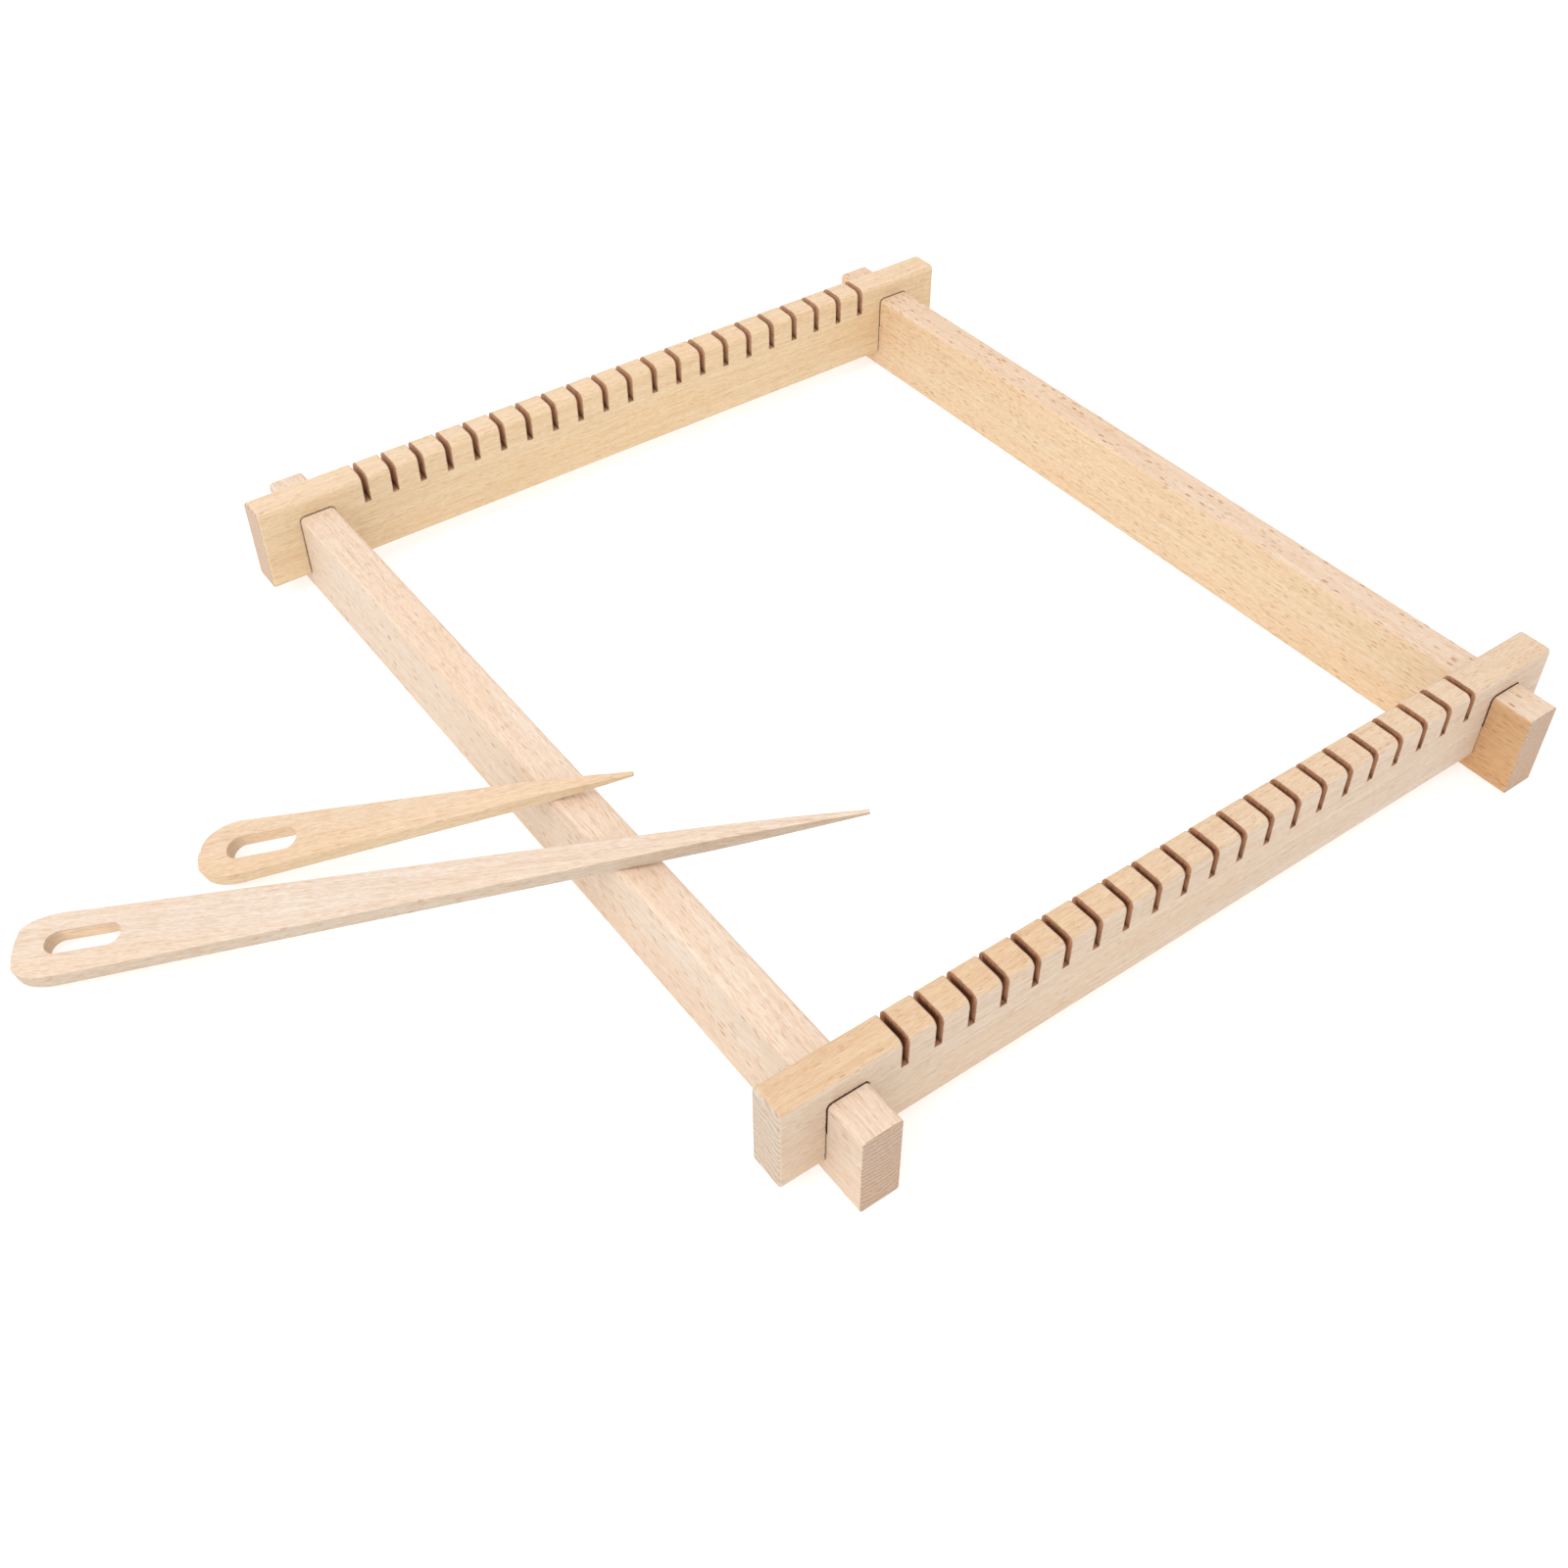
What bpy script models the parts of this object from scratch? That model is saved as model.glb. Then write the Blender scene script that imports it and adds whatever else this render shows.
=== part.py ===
"""Wooden frame loom for small weavings, with two flat weaving needles leaning on it.

Two plain rails lie on the table and carry two slotted bars, which are laid across
them and drop into open halving joints.  Nothing is glued or screwed.  The warp is
strung back and forth between the saw cuts along the top edges of the two bars.
A long and a short needle stand with their eye ends on the table and rest on the
outer edge of the left rail.

Everything is first laid out around the middle of the frame: +X runs along the bars,
+Y along the rails, away from the near bar, and +Z up.  At the end all pieces shift
together, so that the origin is at the bottom centre of the whole group.
"""

import math

import bmesh
import bpy
from mathutils import Matrix, Vector

# Rails: the two plain pieces that lie on the table.
RAIL_LENGTH = 0.313
RAIL_WIDTH = 0.0118
RAIL_HEIGHT = 0.0278
RAIL_SPREAD = 0.233          # between the centre planes of the two rails
RAIL_EDGE_RADIUS = 0.0015

# Bars: the two slotted pieces that lie across the rails.
BAR_LENGTH = 0.2712
BAR_WIDTH = 0.0109
BAR_HEIGHT = 0.0283
BAR_SPREAD = 0.2762          # between the centre planes of the two bars
BAR_LIFT = 0.006             # from the table up to the underside of a bar
BAR_TOP_RADIUS = 0.0022
BAR_BOTTOM_RADIUS = 0.0008
NEAR_BAR_TRIM = 0.0012       # the near bar is sawn off this much shorter at its right end

# Warp slots: saw cuts across the top edge of each bar.
SLOT_COUNT = 21
SLOT_PITCH = 0.010
SLOT_WIDTH = 0.0020
SLOT_DEPTH = 0.0095
FAR_SLOT_SHIFT = 0.0009      # the far bar's slots are all this much nearer to the right rail

# Halving joints: rail and bar each give up half of the height they share.
LAP_GAP = 0.0003
LAP_LEVEL = (BAR_LIFT + RAIL_HEIGHT) / 2

# Needles.
NEEDLE_THICKNESS = 0.0045
NEEDLE_TIP_THICKNESS = 0.0009
NEEDLE_TIP_WIDTH = 0.0011
SHOULDER_SETBACK = 0.012     # from the eye end to where the needle is widest
END_BOW = 0.0007             # how far the blunt eye end bulges out in its middle
EYE_SETBACK = 0.0090
EYE_LENGTH = 0.0208
EYE_WIDTH = 0.0068
THIN_STATIONS = 10           # cross sections along the stretch that thins to the tip
REST_GAP = 0.0003            # between a leaning needle and the rail that it rests on

# Each needle: its outline, how it lies, and where it crosses the left rail.
NEEDLES = (
    {
        "name": "long_needle",
        "length": 0.2260,
        "width": 0.0204,
        "corner_radii": (0.0050, 0.0062),
        "thin_length": 0.043,
        "eye_shift": 0.0006,
        "heading": math.radians(-31.94),
        "tilt": math.radians(11.78),
        "crossing_y": -0.0515,
    },
    {
        "name": "short_needle",
        "length": 0.1255,
        "width": 0.0180,
        "corner_radii": (0.0078, 0.0060),
        "thin_length": 0.035,
        "eye_shift": 0.0,
        "heading": math.radians(-35.1),
        "tilt": math.radians(19.13),
        "crossing_y": -0.0218,
    },
)

# Colours of the bare beech, as linear red, green and blue.
RAIL_COLOUR = (0.74, 0.53, 0.36)
BAR_COLOUR = (0.76, 0.55, 0.38)
NEEDLE_COLOUR = (0.80, 0.59, 0.43)
WOOD_ROUGHNESS = 0.62

BEZIER_ARC = 0.5523          # handle length over radius for a quarter circle
CURVE_STEPS = 10             # straight steps in each curved stretch of an outline
EDGE_STEPS = 3               # bevel segments on a rounded edge
CUT_CLEARANCE = 0.005        # how far a cutter runs out past the face it opens


def clear_scene():
    """Remove the objects that the scene starts with."""
    for obj in list(bpy.data.objects):
        bpy.data.objects.remove(obj, do_unlink=True)


def new_collection(name):
    """Add a collection to the scene."""
    collection = bpy.data.collections.new(name)
    bpy.context.scene.collection.children.link(collection)
    return collection


def wood_material(name, colour):
    """Bare sanded wood in one plain colour."""
    material = bpy.data.materials.new(name)
    material.use_nodes = True
    shader = material.node_tree.nodes["Principled BSDF"]
    shader.inputs["Base Color"].default_value = (*colour, 1.0)
    shader.inputs["Roughness"].default_value = WOOD_ROUGHNESS
    shader.inputs["Metallic"].default_value = 0.0
    return material


def object_from_bmesh(name, mesh_data, collection):
    """Turn a bmesh into an object in the given collection."""
    mesh = bpy.data.meshes.new(name)
    mesh_data.to_mesh(mesh)
    mesh_data.free()
    obj = bpy.data.objects.new(name, mesh)
    collection.objects.link(obj)
    return obj


def add_box(mesh_data, size, centre=(0.0, 0.0, 0.0)):
    """Add one box to a bmesh and return its edges."""
    matrix = Matrix.Translation(centre) @ Matrix.Diagonal((*size, 1.0))
    corners = bmesh.ops.create_cube(mesh_data, size=1.0, matrix=matrix)["verts"]
    return {edge for corner in corners for edge in corner.link_edges}


def cutter_from_boxes(name, boxes, collection):
    """One cutter made of separate boxes, each given as (size, centre)."""
    mesh_data = bmesh.new()
    for size, centre in boxes:
        add_box(mesh_data, size, centre)
    cutter = object_from_bmesh(name, mesh_data, collection)
    cutter.hide_render = True
    cutter.display_type = "WIRE"
    return cutter


def long_piece(name, size, radius, edge_weight, material, collection):
    """A straight piece of planed stock with its four long edges rounded.

    edge_weight gives each long edge its share of the radius, from the edge's centre.
    """
    mesh_data = bmesh.new()
    weights = mesh_data.edges.layers.float.new("bevel_weight_edge")
    edges = add_box(mesh_data, size)
    long_axis = max(range(3), key=lambda axis: size[axis])
    for edge in edges:
        start, end = (corner.co for corner in edge.verts)
        runs_along = abs(start[long_axis] - end[long_axis]) > size[long_axis] / 2
        if runs_along:
            edge[weights] = edge_weight((start + end) / 2)
    piece = object_from_bmesh(name, mesh_data, collection)
    piece.data.materials.append(material)
    bevel = piece.modifiers.new("rounded edges", "BEVEL")
    bevel.width = radius
    bevel.segments = EDGE_STEPS
    bevel.limit_method = "WEIGHT"
    bevel.use_clamp_overlap = True
    return piece


def cut(piece, cutter, label):
    """Take the cutter out of the piece, and move the cutter along with it."""
    boolean = piece.modifiers.new(label, "BOOLEAN")
    boolean.operation = "DIFFERENCE"
    boolean.solver = "EXACT"
    boolean.object = cutter
    cutter.parent = piece


def build_rails(collection, cutters):
    """The two rails, notched from above where the bars drop in."""
    material = wood_material("beech_rail", RAIL_COLOUR)
    size = (RAIL_WIDTH, RAIL_LENGTH, RAIL_HEIGHT)
    notch_depth = RAIL_HEIGHT - LAP_LEVEL
    notch_size = (
        RAIL_WIDTH + 2 * CUT_CLEARANCE,
        BAR_WIDTH + 2 * LAP_GAP,
        notch_depth + CUT_CLEARANCE,
    )
    notch_z = RAIL_HEIGHT / 2 - notch_depth + notch_size[2] / 2
    notches = [(notch_size, (0.0, side * BAR_SPREAD / 2, notch_z)) for side in (-1, 1)]
    rails = []
    for name, side in (("left_rail", -1), ("right_rail", 1)):
        rail = long_piece(name, size, RAIL_EDGE_RADIUS, lambda centre: 1.0, material, collection)
        rail.location = (side * RAIL_SPREAD / 2, 0.0, RAIL_HEIGHT / 2)
        cut(rail, cutter_from_boxes(name + "_notches", notches, cutters), "lap notches")
        rails.append(rail)
    return rails


def build_bars(collection, cutters):
    """The two bars, notched from below over the rails and sawn with the warp slots."""
    material = wood_material("beech_bar", BAR_COLOUR)
    notch_depth = LAP_LEVEL + LAP_GAP - BAR_LIFT
    notch_size = (
        RAIL_WIDTH + 2 * LAP_GAP,
        BAR_WIDTH + 2 * CUT_CLEARANCE,
        notch_depth + CUT_CLEARANCE,
    )
    notch_z = -BAR_HEIGHT / 2 + notch_depth - notch_size[2] / 2
    slot_size = (SLOT_WIDTH, BAR_WIDTH + 2 * CUT_CLEARANCE, SLOT_DEPTH + CUT_CLEARANCE)
    slot_z = BAR_HEIGHT / 2 - SLOT_DEPTH + slot_size[2] / 2
    half_row = (SLOT_COUNT - 1) / 2 * SLOT_PITCH

    def edge_weight(centre):
        return 1.0 if centre.z > 0 else BAR_BOTTOM_RADIUS / BAR_TOP_RADIUS

    bars = []
    plans = (("near_bar", -1, NEAR_BAR_TRIM, 0.0), ("far_bar", 1, 0.0, FAR_SLOT_SHIFT))
    for name, side, trim, slot_shift in plans:
        middle = -trim / 2
        first_slot = slot_shift - half_row
        size = (BAR_LENGTH - trim, BAR_WIDTH, BAR_HEIGHT)
        bar = long_piece(name, size, BAR_TOP_RADIUS, edge_weight, material, collection)
        bar.location = (middle, side * BAR_SPREAD / 2, BAR_LIFT + BAR_HEIGHT / 2)
        slots = [
            (slot_size, (first_slot + number * SLOT_PITCH - middle, 0.0, slot_z))
            for number in range(SLOT_COUNT)
        ]
        notches = [
            (notch_size, (rail_side * RAIL_SPREAD / 2 - middle, 0.0, notch_z))
            for rail_side in (-1, 1)
        ]
        cut(bar, cutter_from_boxes(name + "_slots", slots, cutters), "warp slots")
        cut(bar, cutter_from_boxes(name + "_notches", notches, cutters), "lap notches")
        bars.append(bar)
    return bars


def add_bezier_loop(curve, points):
    """Add a closed Bezier loop; each point is (place, handle in, handle out)."""
    spline = curve.splines.new("BEZIER")
    spline.bezier_points.add(len(points) - 1)
    for point, (place, handle_in, handle_out) in zip(spline.bezier_points, points):
        point.handle_left_type = "FREE"
        point.handle_right_type = "FREE"
        point.co = (*place, 0.0)
        point.handle_left = (*handle_in, 0.0)
        point.handle_right = (*handle_out, 0.0)
    spline.use_cyclic_u = True


def needle_outline(spec):
    """Outline from the tip, round the eye end and back; the eye end is at x = 0."""
    length = spec["length"]
    tip = NEEDLE_TIP_WIDTH / 2
    half = spec["width"] / 2
    right, left = spec["corner_radii"]
    points = [((length, tip), (length, tip), (length, tip))]
    for side, radius in ((1, right), (-1, left)):
        shoulder = (SHOULDER_SETBACK, side * half)
        shoulder_handle = (SHOULDER_SETBACK * (1 - BEZIER_ARC), side * half)
        corner = (END_BOW, side * (half - radius))
        corner_handle = (END_BOW * BEZIER_ARC, side * (half - radius * (1 - BEZIER_ARC)))
        end_handle = (0.0, side * (half - radius) * BEZIER_ARC)
        pair = [
            (shoulder, shoulder, shoulder_handle),
            (corner, corner_handle, end_handle),
        ]
        if side < 0:
            pair = [(place, after, before) for place, before, after in reversed(pair)]
        points.extend(pair)
    points.append(((length, -tip), (length, -tip), (length, -tip)))
    return points


def eye_outline(spec):
    """A slot with round ends, a little way in from the eye end."""
    radius = EYE_WIDTH / 2
    reach = radius * BEZIER_ARC
    start = EYE_SETBACK
    end = start + EYE_LENGTH
    shift = spec["eye_shift"]
    points = []
    for edge_x, inward in ((start, 1), (end, -1)):
        centre_x = edge_x + inward * radius
        low = (centre_x, shift - inward * radius)
        high = (centre_x, shift + inward * radius)
        nose = (edge_x, shift)
        points.append((low, low, (centre_x - inward * reach, low[1])))
        points.append((nose, (edge_x, shift - inward * reach), (edge_x, shift + inward * reach)))
        points.append((high, (centre_x - inward * reach, high[1]), high))
    return points


def flat_mesh(name, loops, thickness):
    """Fill the loops, give them a thickness, and return the result as a closed mesh."""
    curve = bpy.data.curves.new(name + "_outline", "CURVE")
    curve.dimensions = "2D"
    curve.fill_mode = "BOTH"
    curve.resolution_u = CURVE_STEPS
    curve.extrude = thickness / 2
    for loop in loops:
        add_bezier_loop(curve, loop)
    outline = bpy.data.objects.new(name + "_outline", curve)
    bpy.context.scene.collection.objects.link(outline)
    depsgraph = bpy.context.evaluated_depsgraph_get()
    mesh = bpy.data.meshes.new_from_object(outline.evaluated_get(depsgraph))
    bpy.data.objects.remove(outline, do_unlink=True)
    bpy.data.curves.remove(curve)
    mesh_data = bmesh.new()
    mesh_data.from_mesh(mesh)
    bpy.data.meshes.remove(mesh)
    bmesh.ops.remove_doubles(mesh_data, verts=mesh_data.verts, dist=0.00001)
    return mesh_data


def thin_towards_tip(mesh_data, spec):
    """Bring both faces together over the last stretch before the tip."""
    start = spec["length"] - spec["thin_length"]
    for station in range(THIN_STATIONS):
        place = (start + spec["thin_length"] * station / THIN_STATIONS, 0.0, 0.0)
        geometry = [*mesh_data.verts, *mesh_data.edges, *mesh_data.faces]
        bmesh.ops.bisect_plane(mesh_data, geom=geometry, plane_co=place, plane_no=(1.0, 0.0, 0.0))
    lost = 1 - NEEDLE_TIP_THICKNESS / NEEDLE_THICKNESS
    for vertex in mesh_data.verts:
        along = max(0.0, (vertex.co.x - start) / spec["thin_length"])
        vertex.co.z *= 1 - lost * along ** 1.5


def lean(spec, lowest_x):
    """Matrix that leans a flat needle from the table onto the left rail's outer edge.

    lowest_x is how far the turned outline reaches towards -X from the eye end's middle.
    """
    tilt = spec["tilt"]
    edge_x = -RAIL_SPREAD / 2 - RAIL_WIDTH / 2 + RAIL_EDGE_RADIUS
    edge_z = RAIL_HEIGHT - RAIL_EDGE_RADIUS
    reach = (edge_z * math.cos(tilt) + RAIL_EDGE_RADIUS + REST_GAP) / math.sin(tilt)
    along_slope = reach * math.cos(tilt) + edge_z * math.sin(tilt)
    foot_y = spec["crossing_y"] - math.tan(spec["heading"]) * (along_slope + lowest_x)
    return (
        Matrix.Translation((edge_x - reach, foot_y, 0.0))
        @ Matrix.Rotation(-tilt, 4, "Y")
        @ Matrix.Translation((-lowest_x, 0.0, 0.0))
        @ Matrix.Rotation(spec["heading"], 4, "Z")
    )


def build_needle(spec, material, collection):
    """One flat needle: wide at its eye end, tapering in width and thickness to its tip."""
    loops = (needle_outline(spec), eye_outline(spec))
    mesh_data = flat_mesh(spec["name"], loops, NEEDLE_THICKNESS)
    thin_towards_tip(mesh_data, spec)
    bmesh.ops.translate(mesh_data, verts=mesh_data.verts, vec=(0.0, 0.0, NEEDLE_THICKNESS / 2))
    bmesh.ops.recalc_face_normals(mesh_data, faces=mesh_data.faces)
    turn = Matrix.Rotation(spec["heading"], 4, "Z")
    lowest_x = min((turn @ vertex.co).x for vertex in mesh_data.verts)
    needle = object_from_bmesh(spec["name"], mesh_data, collection)
    needle.data.materials.append(material)
    needle.matrix_world = lean(spec, lowest_x)
    return needle


def settle_on_origin(pieces):
    """Shift all pieces together, to put the origin at their bottom centre."""
    depsgraph = bpy.context.evaluated_depsgraph_get()
    corners = []
    for piece in pieces:
        solid = piece.evaluated_get(depsgraph)
        corners.extend(solid.matrix_world @ vertex.co for vertex in solid.data.vertices)
    low = Vector(min(corner[axis] for corner in corners) for axis in range(3))
    high = Vector(max(corner[axis] for corner in corners) for axis in range(3))
    shift = Vector(((low.x + high.x) / 2, (low.y + high.y) / 2, low.z))
    for piece in pieces:
        piece.location -= shift
    return shift


def main():
    clear_scene()
    loom = new_collection("frame_loom")
    cutters = new_collection("cutters")
    pieces = build_rails(loom, cutters) + build_bars(loom, cutters)
    needle_wood = wood_material("beech_needle", NEEDLE_COLOUR)
    for spec in NEEDLES:
        pieces.append(build_needle(spec, needle_wood, loom))
    bpy.context.view_layer.update()
    shift = settle_on_origin(pieces)
    bpy.context.view_layer.update()
    print("middle of the frame is at", tuple(round(-value, 6) for value in shift))


main()
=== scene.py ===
"""Frame loom and its two weaving needles, in bare sanded beech.

The CAD solids give every place and size.  Each of the six wooden pieces is modelled
again on its CAD node's box, with softer edges, and stands for that node.  Run as a
script; the panel lists the same steps for use by hand.
"""

import math

import bmesh
import bpy
from mathutils import Matrix, Vector
from mathutils.geometry import interpolate_bezier


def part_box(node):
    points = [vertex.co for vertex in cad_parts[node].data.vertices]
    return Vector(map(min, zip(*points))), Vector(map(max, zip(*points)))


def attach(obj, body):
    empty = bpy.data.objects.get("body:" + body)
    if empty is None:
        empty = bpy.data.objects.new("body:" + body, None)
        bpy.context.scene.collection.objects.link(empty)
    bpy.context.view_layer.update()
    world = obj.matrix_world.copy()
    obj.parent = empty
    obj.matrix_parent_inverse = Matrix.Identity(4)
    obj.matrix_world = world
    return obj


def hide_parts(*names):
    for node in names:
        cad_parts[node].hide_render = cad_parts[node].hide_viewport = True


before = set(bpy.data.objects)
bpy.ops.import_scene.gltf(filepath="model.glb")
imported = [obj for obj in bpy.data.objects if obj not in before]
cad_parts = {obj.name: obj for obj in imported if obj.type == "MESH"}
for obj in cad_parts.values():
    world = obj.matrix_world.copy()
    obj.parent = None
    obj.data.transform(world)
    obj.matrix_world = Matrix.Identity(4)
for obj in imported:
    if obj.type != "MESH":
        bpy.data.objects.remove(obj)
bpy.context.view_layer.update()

bl_info = {
    "name": "Frame Loom",
    "version": (1, 0, 0),
    "blender": (4, 5, 0),
    "location": "3D View > Sidebar > Loom",
    "description": "Makes a small beech frame loom with two weaving needles",
    "category": "Object",
}

MM = 0.001

RAILS = ("left_rail", "right_rail")
BARS = ("near_bar", "far_bar")
LAP_LEVEL = (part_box("near_bar")[0].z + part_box("left_rail")[1].z) / 2
FRAME_MIDDLE = (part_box("left_rail")[0].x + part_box("right_rail")[1].x) / 2

# How each needle is cut and how it lies: turned about +Z, then tipped up towards its point.
NEEDLES = {
    "long_needle": {
        "corner_radii": (5.0 * MM, 6.2 * MM),
        "thin_length": 43 * MM,
        "eye_shift": 0.6 * MM,
        "slant": 0.06,
        "heading": math.radians(-31.94),
        "tilt": math.radians(11.78),
    },
    "short_needle": {
        "corner_radii": (7.8 * MM, 6.0 * MM),
        "thin_length": 35 * MM,
        "eye_shift": 0.0,
        "slant": -0.03,
        "heading": math.radians(-35.1),
        "tilt": math.radians(19.13),
    },
}

# Viewpoint: a little left of the loom's near left corner, looking down along the frame.
CAMERA_PLACE = Vector((-0.204031, -0.324354, 0.352603))
CAMERA_AZIMUTH = math.radians(-35.848)
CAMERA_ELEVATION = math.radians(-44.29)
CAMERA_ROLL = math.radians(-0.234)
CAMERA_LENS = 40.156

BEZIER_ARC = 0.5523          # handle length over radius for a quarter circle
CURVE_STEPS = 14             # straight steps in each curved stretch of an outline
EDGE_STEPS = 5               # segments of a rounded edge on rails and bars
RIM_STEPS = 4                # steps round the sanded rim of a needle
THIN_STATIONS = 12           # cross sections along the stretch that thins to the tip
CLOSE = 0.01 * MM            # two places nearer than this are the same
SHEEN = 0.35                 # specular level of bare wood
SCORCHED_SHEEN = 0.1         # specular level of burnt wood

# Radii of the bars' smaller edges, and a rail's end edges as a share of its long ones.
BAR_FOOT_EDGE = 0.9 * MM
BAR_END_TOP_EDGE = 1.6 * MM
BAR_END_FOOT_EDGE = 0.7 * MM
BAR_END_UPRIGHT_EDGE = 0.8 * MM
RAIL_END_SHARE = 0.35

# The stage: a table top that glows a little, a white sky and one soft lamp.
TABLE_HALF_SIDE = 6.0
TABLE_GLOW = 0.58
SKY_STRENGTH = 1.0
LAMP_PLACE = Vector((-1.2, -0.3, 1.6))
LAMP_SIDE = 1.6
LAMP_POWER = 14.0


def length_property(name, description, default):
    """A size in metres."""
    return bpy.props.FloatProperty(
        name=name, description=description, default=default, min=0.0, precision=5,
        subtype="DISTANCE", unit="LENGTH",
    )


def colour_property(name, description, default):
    """A linear colour."""
    return bpy.props.FloatVectorProperty(
        name=name, description=description, default=default, min=0.0, max=1.0, size=3,
        subtype="COLOR",
    )


class FrameSizes(bpy.types.PropertyGroup):
    """Sizes of the four pieces of the frame."""

    rail_edge: length_property("Rail Edge", "Radius of a rail's long edges", 1.5 * MM)
    bar_edge: length_property("Bar Edge", "Radius of a bar's top edges", 2.2 * MM)
    far_edge: length_property("Far Edge", "Radius of the far bar's outer top edge", 3.0 * MM)
    slot_width: length_property("Slot Width", "Width of a warp slot", 2.0 * MM)
    slot_depth: length_property("Slot Depth", "Depth of a warp slot", 9.5 * MM)
    slot_pitch: length_property("Slot Pitch", "Distance between warp slots", 10 * MM)
    far_shift: length_property("Far Slot Shift", "How far right the far bar's slots sit", 0.9 * MM)
    lap_gap: length_property("Lap Gap", "Play all round in a halving joint", 0.3 * MM)
    slot_count: bpy.props.IntProperty(
        name="Slots", description="Number of warp slots in a bar", default=21, min=1)


class NeedleSizes(bpy.types.PropertyGroup):
    """Sizes of the two weaving needles."""

    long_length: length_property("Long Needle", "Length of the long needle", 226 * MM)
    long_width: length_property("Long Width", "Greatest width of the long needle", 20.4 * MM)
    short_length: length_property("Short Needle", "Length of the short needle", 125.5 * MM)
    short_width: length_property("Short Width", "Greatest width of the short needle", 18 * MM)
    thickness: length_property("Thickness", "Thickness at the eye", 4.5 * MM)
    tip_thickness: length_property("Tip Thickness", "Thickness at the tip", 0.9 * MM)
    tip_width: length_property("Tip Width", "Width at the tip", 1.1 * MM)
    shoulder: length_property("Shoulder", "From the eye end to the widest place", 12 * MM)
    end_bow: length_property("End Bow", "How far the eye end bulges", 0.7 * MM)
    eye_setback: length_property("Eye Setback", "From the eye end to the eye", 9.0 * MM)
    eye_length: length_property("Eye Length", "Length of the eye", 20.8 * MM)
    eye_width: length_property("Eye Width", "Width of the eye", 6.8 * MM)
    edge: length_property("Edge", "Radius of the sanded edges", 0.3 * MM)


class LoomColours(bpy.types.PropertyGroup):
    """Colours of the wood and of the floor."""

    # The side tones of the rails and bars are set apart from their top tones to match how light
    # fell on each face, so they hold painted shade besides the grain's own difference between
    # faces.
    left_rail: colour_property("Left Rail", "Top of the left rail", (0.826, 0.696, 0.582))
    left_side_and_shade: colour_property("Left Rail Side", "Sides of the left rail", (0.744, 0.641, 0.539))
    right_rail: colour_property("Right Rail", "Top of the right rail", (0.795, 0.654, 0.528))
    right_side_and_shade: colour_property("Right Rail Side", "Sides of the right rail", (0.785, 0.633, 0.448))
    near_bar: colour_property("Near Bar", "Top of the near bar", (0.744, 0.559, 0.377))
    near_side_and_shade: colour_property("Near Bar Side", "Sides of the near bar", (0.698, 0.593, 0.483))
    far_bar: colour_property("Far Bar", "Top of the far bar", (0.826, 0.665, 0.485))
    far_side_and_shade: colour_property("Far Bar Side", "Sides of the far bar", (0.795, 0.654, 0.453))
    long_needle: colour_property("Long Needle", "Faces of the long needle", (0.785, 0.686, 0.598))
    long_side: colour_property("Long Needle Side", "Sawn rim of the long needle",
                               (0.625, 0.559, 0.485))
    short_needle: colour_property("Short Needle", "Faces of the short needle",
                                  (0.775, 0.633, 0.483))
    short_side: colour_property("Short Needle Side", "Sawn rim of the short needle",
                                (0.764, 0.654, 0.49))
    # The eye tone is set above the wood's own to paint light into the shaded walls of the eye.
    eye: colour_property("Eye", "Walls of the needles' eyes", (0.82, 0.62, 0.43))
    fleck: colour_property("Ray Fleck", "The short dark rays in the wood", (0.42, 0.20, 0.085))
    rail_end: colour_property("Rail End", "Sawn ends of the rails", (0.56, 0.452, 0.372))
    near_end: colour_property("Near Bar End", "Sawn ends of the near bar", (0.637, 0.581, 0.515))
    far_end: colour_property("Far Bar End", "Sawn ends of the far bar", (0.632, 0.523, 0.427))
    scorch: colour_property("Scorch", "Browned walls of the near slots", (0.50, 0.25, 0.135))
    far_scorch: colour_property("Far Scorch", "Browned walls of the far slots", (0.56, 0.32, 0.19))
    # This near-black colour is the joints' char and also painted shade: in the joint gaps and deep
    # in the warp slots.
    char: colour_property("Char", "Burnt walls of the joints", (0.085, 0.017, 0.006))
    floor: colour_property("Floor", "Table under the loom", (0.55, 0.55, 0.55))


def sizes():
    return bpy.context.scene.loom_frame


def needle_sizes():
    return bpy.context.scene.loom_needles


def colours():
    return bpy.context.scene.loom_colours


# ---------------------------------------------------------------- materials


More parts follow.
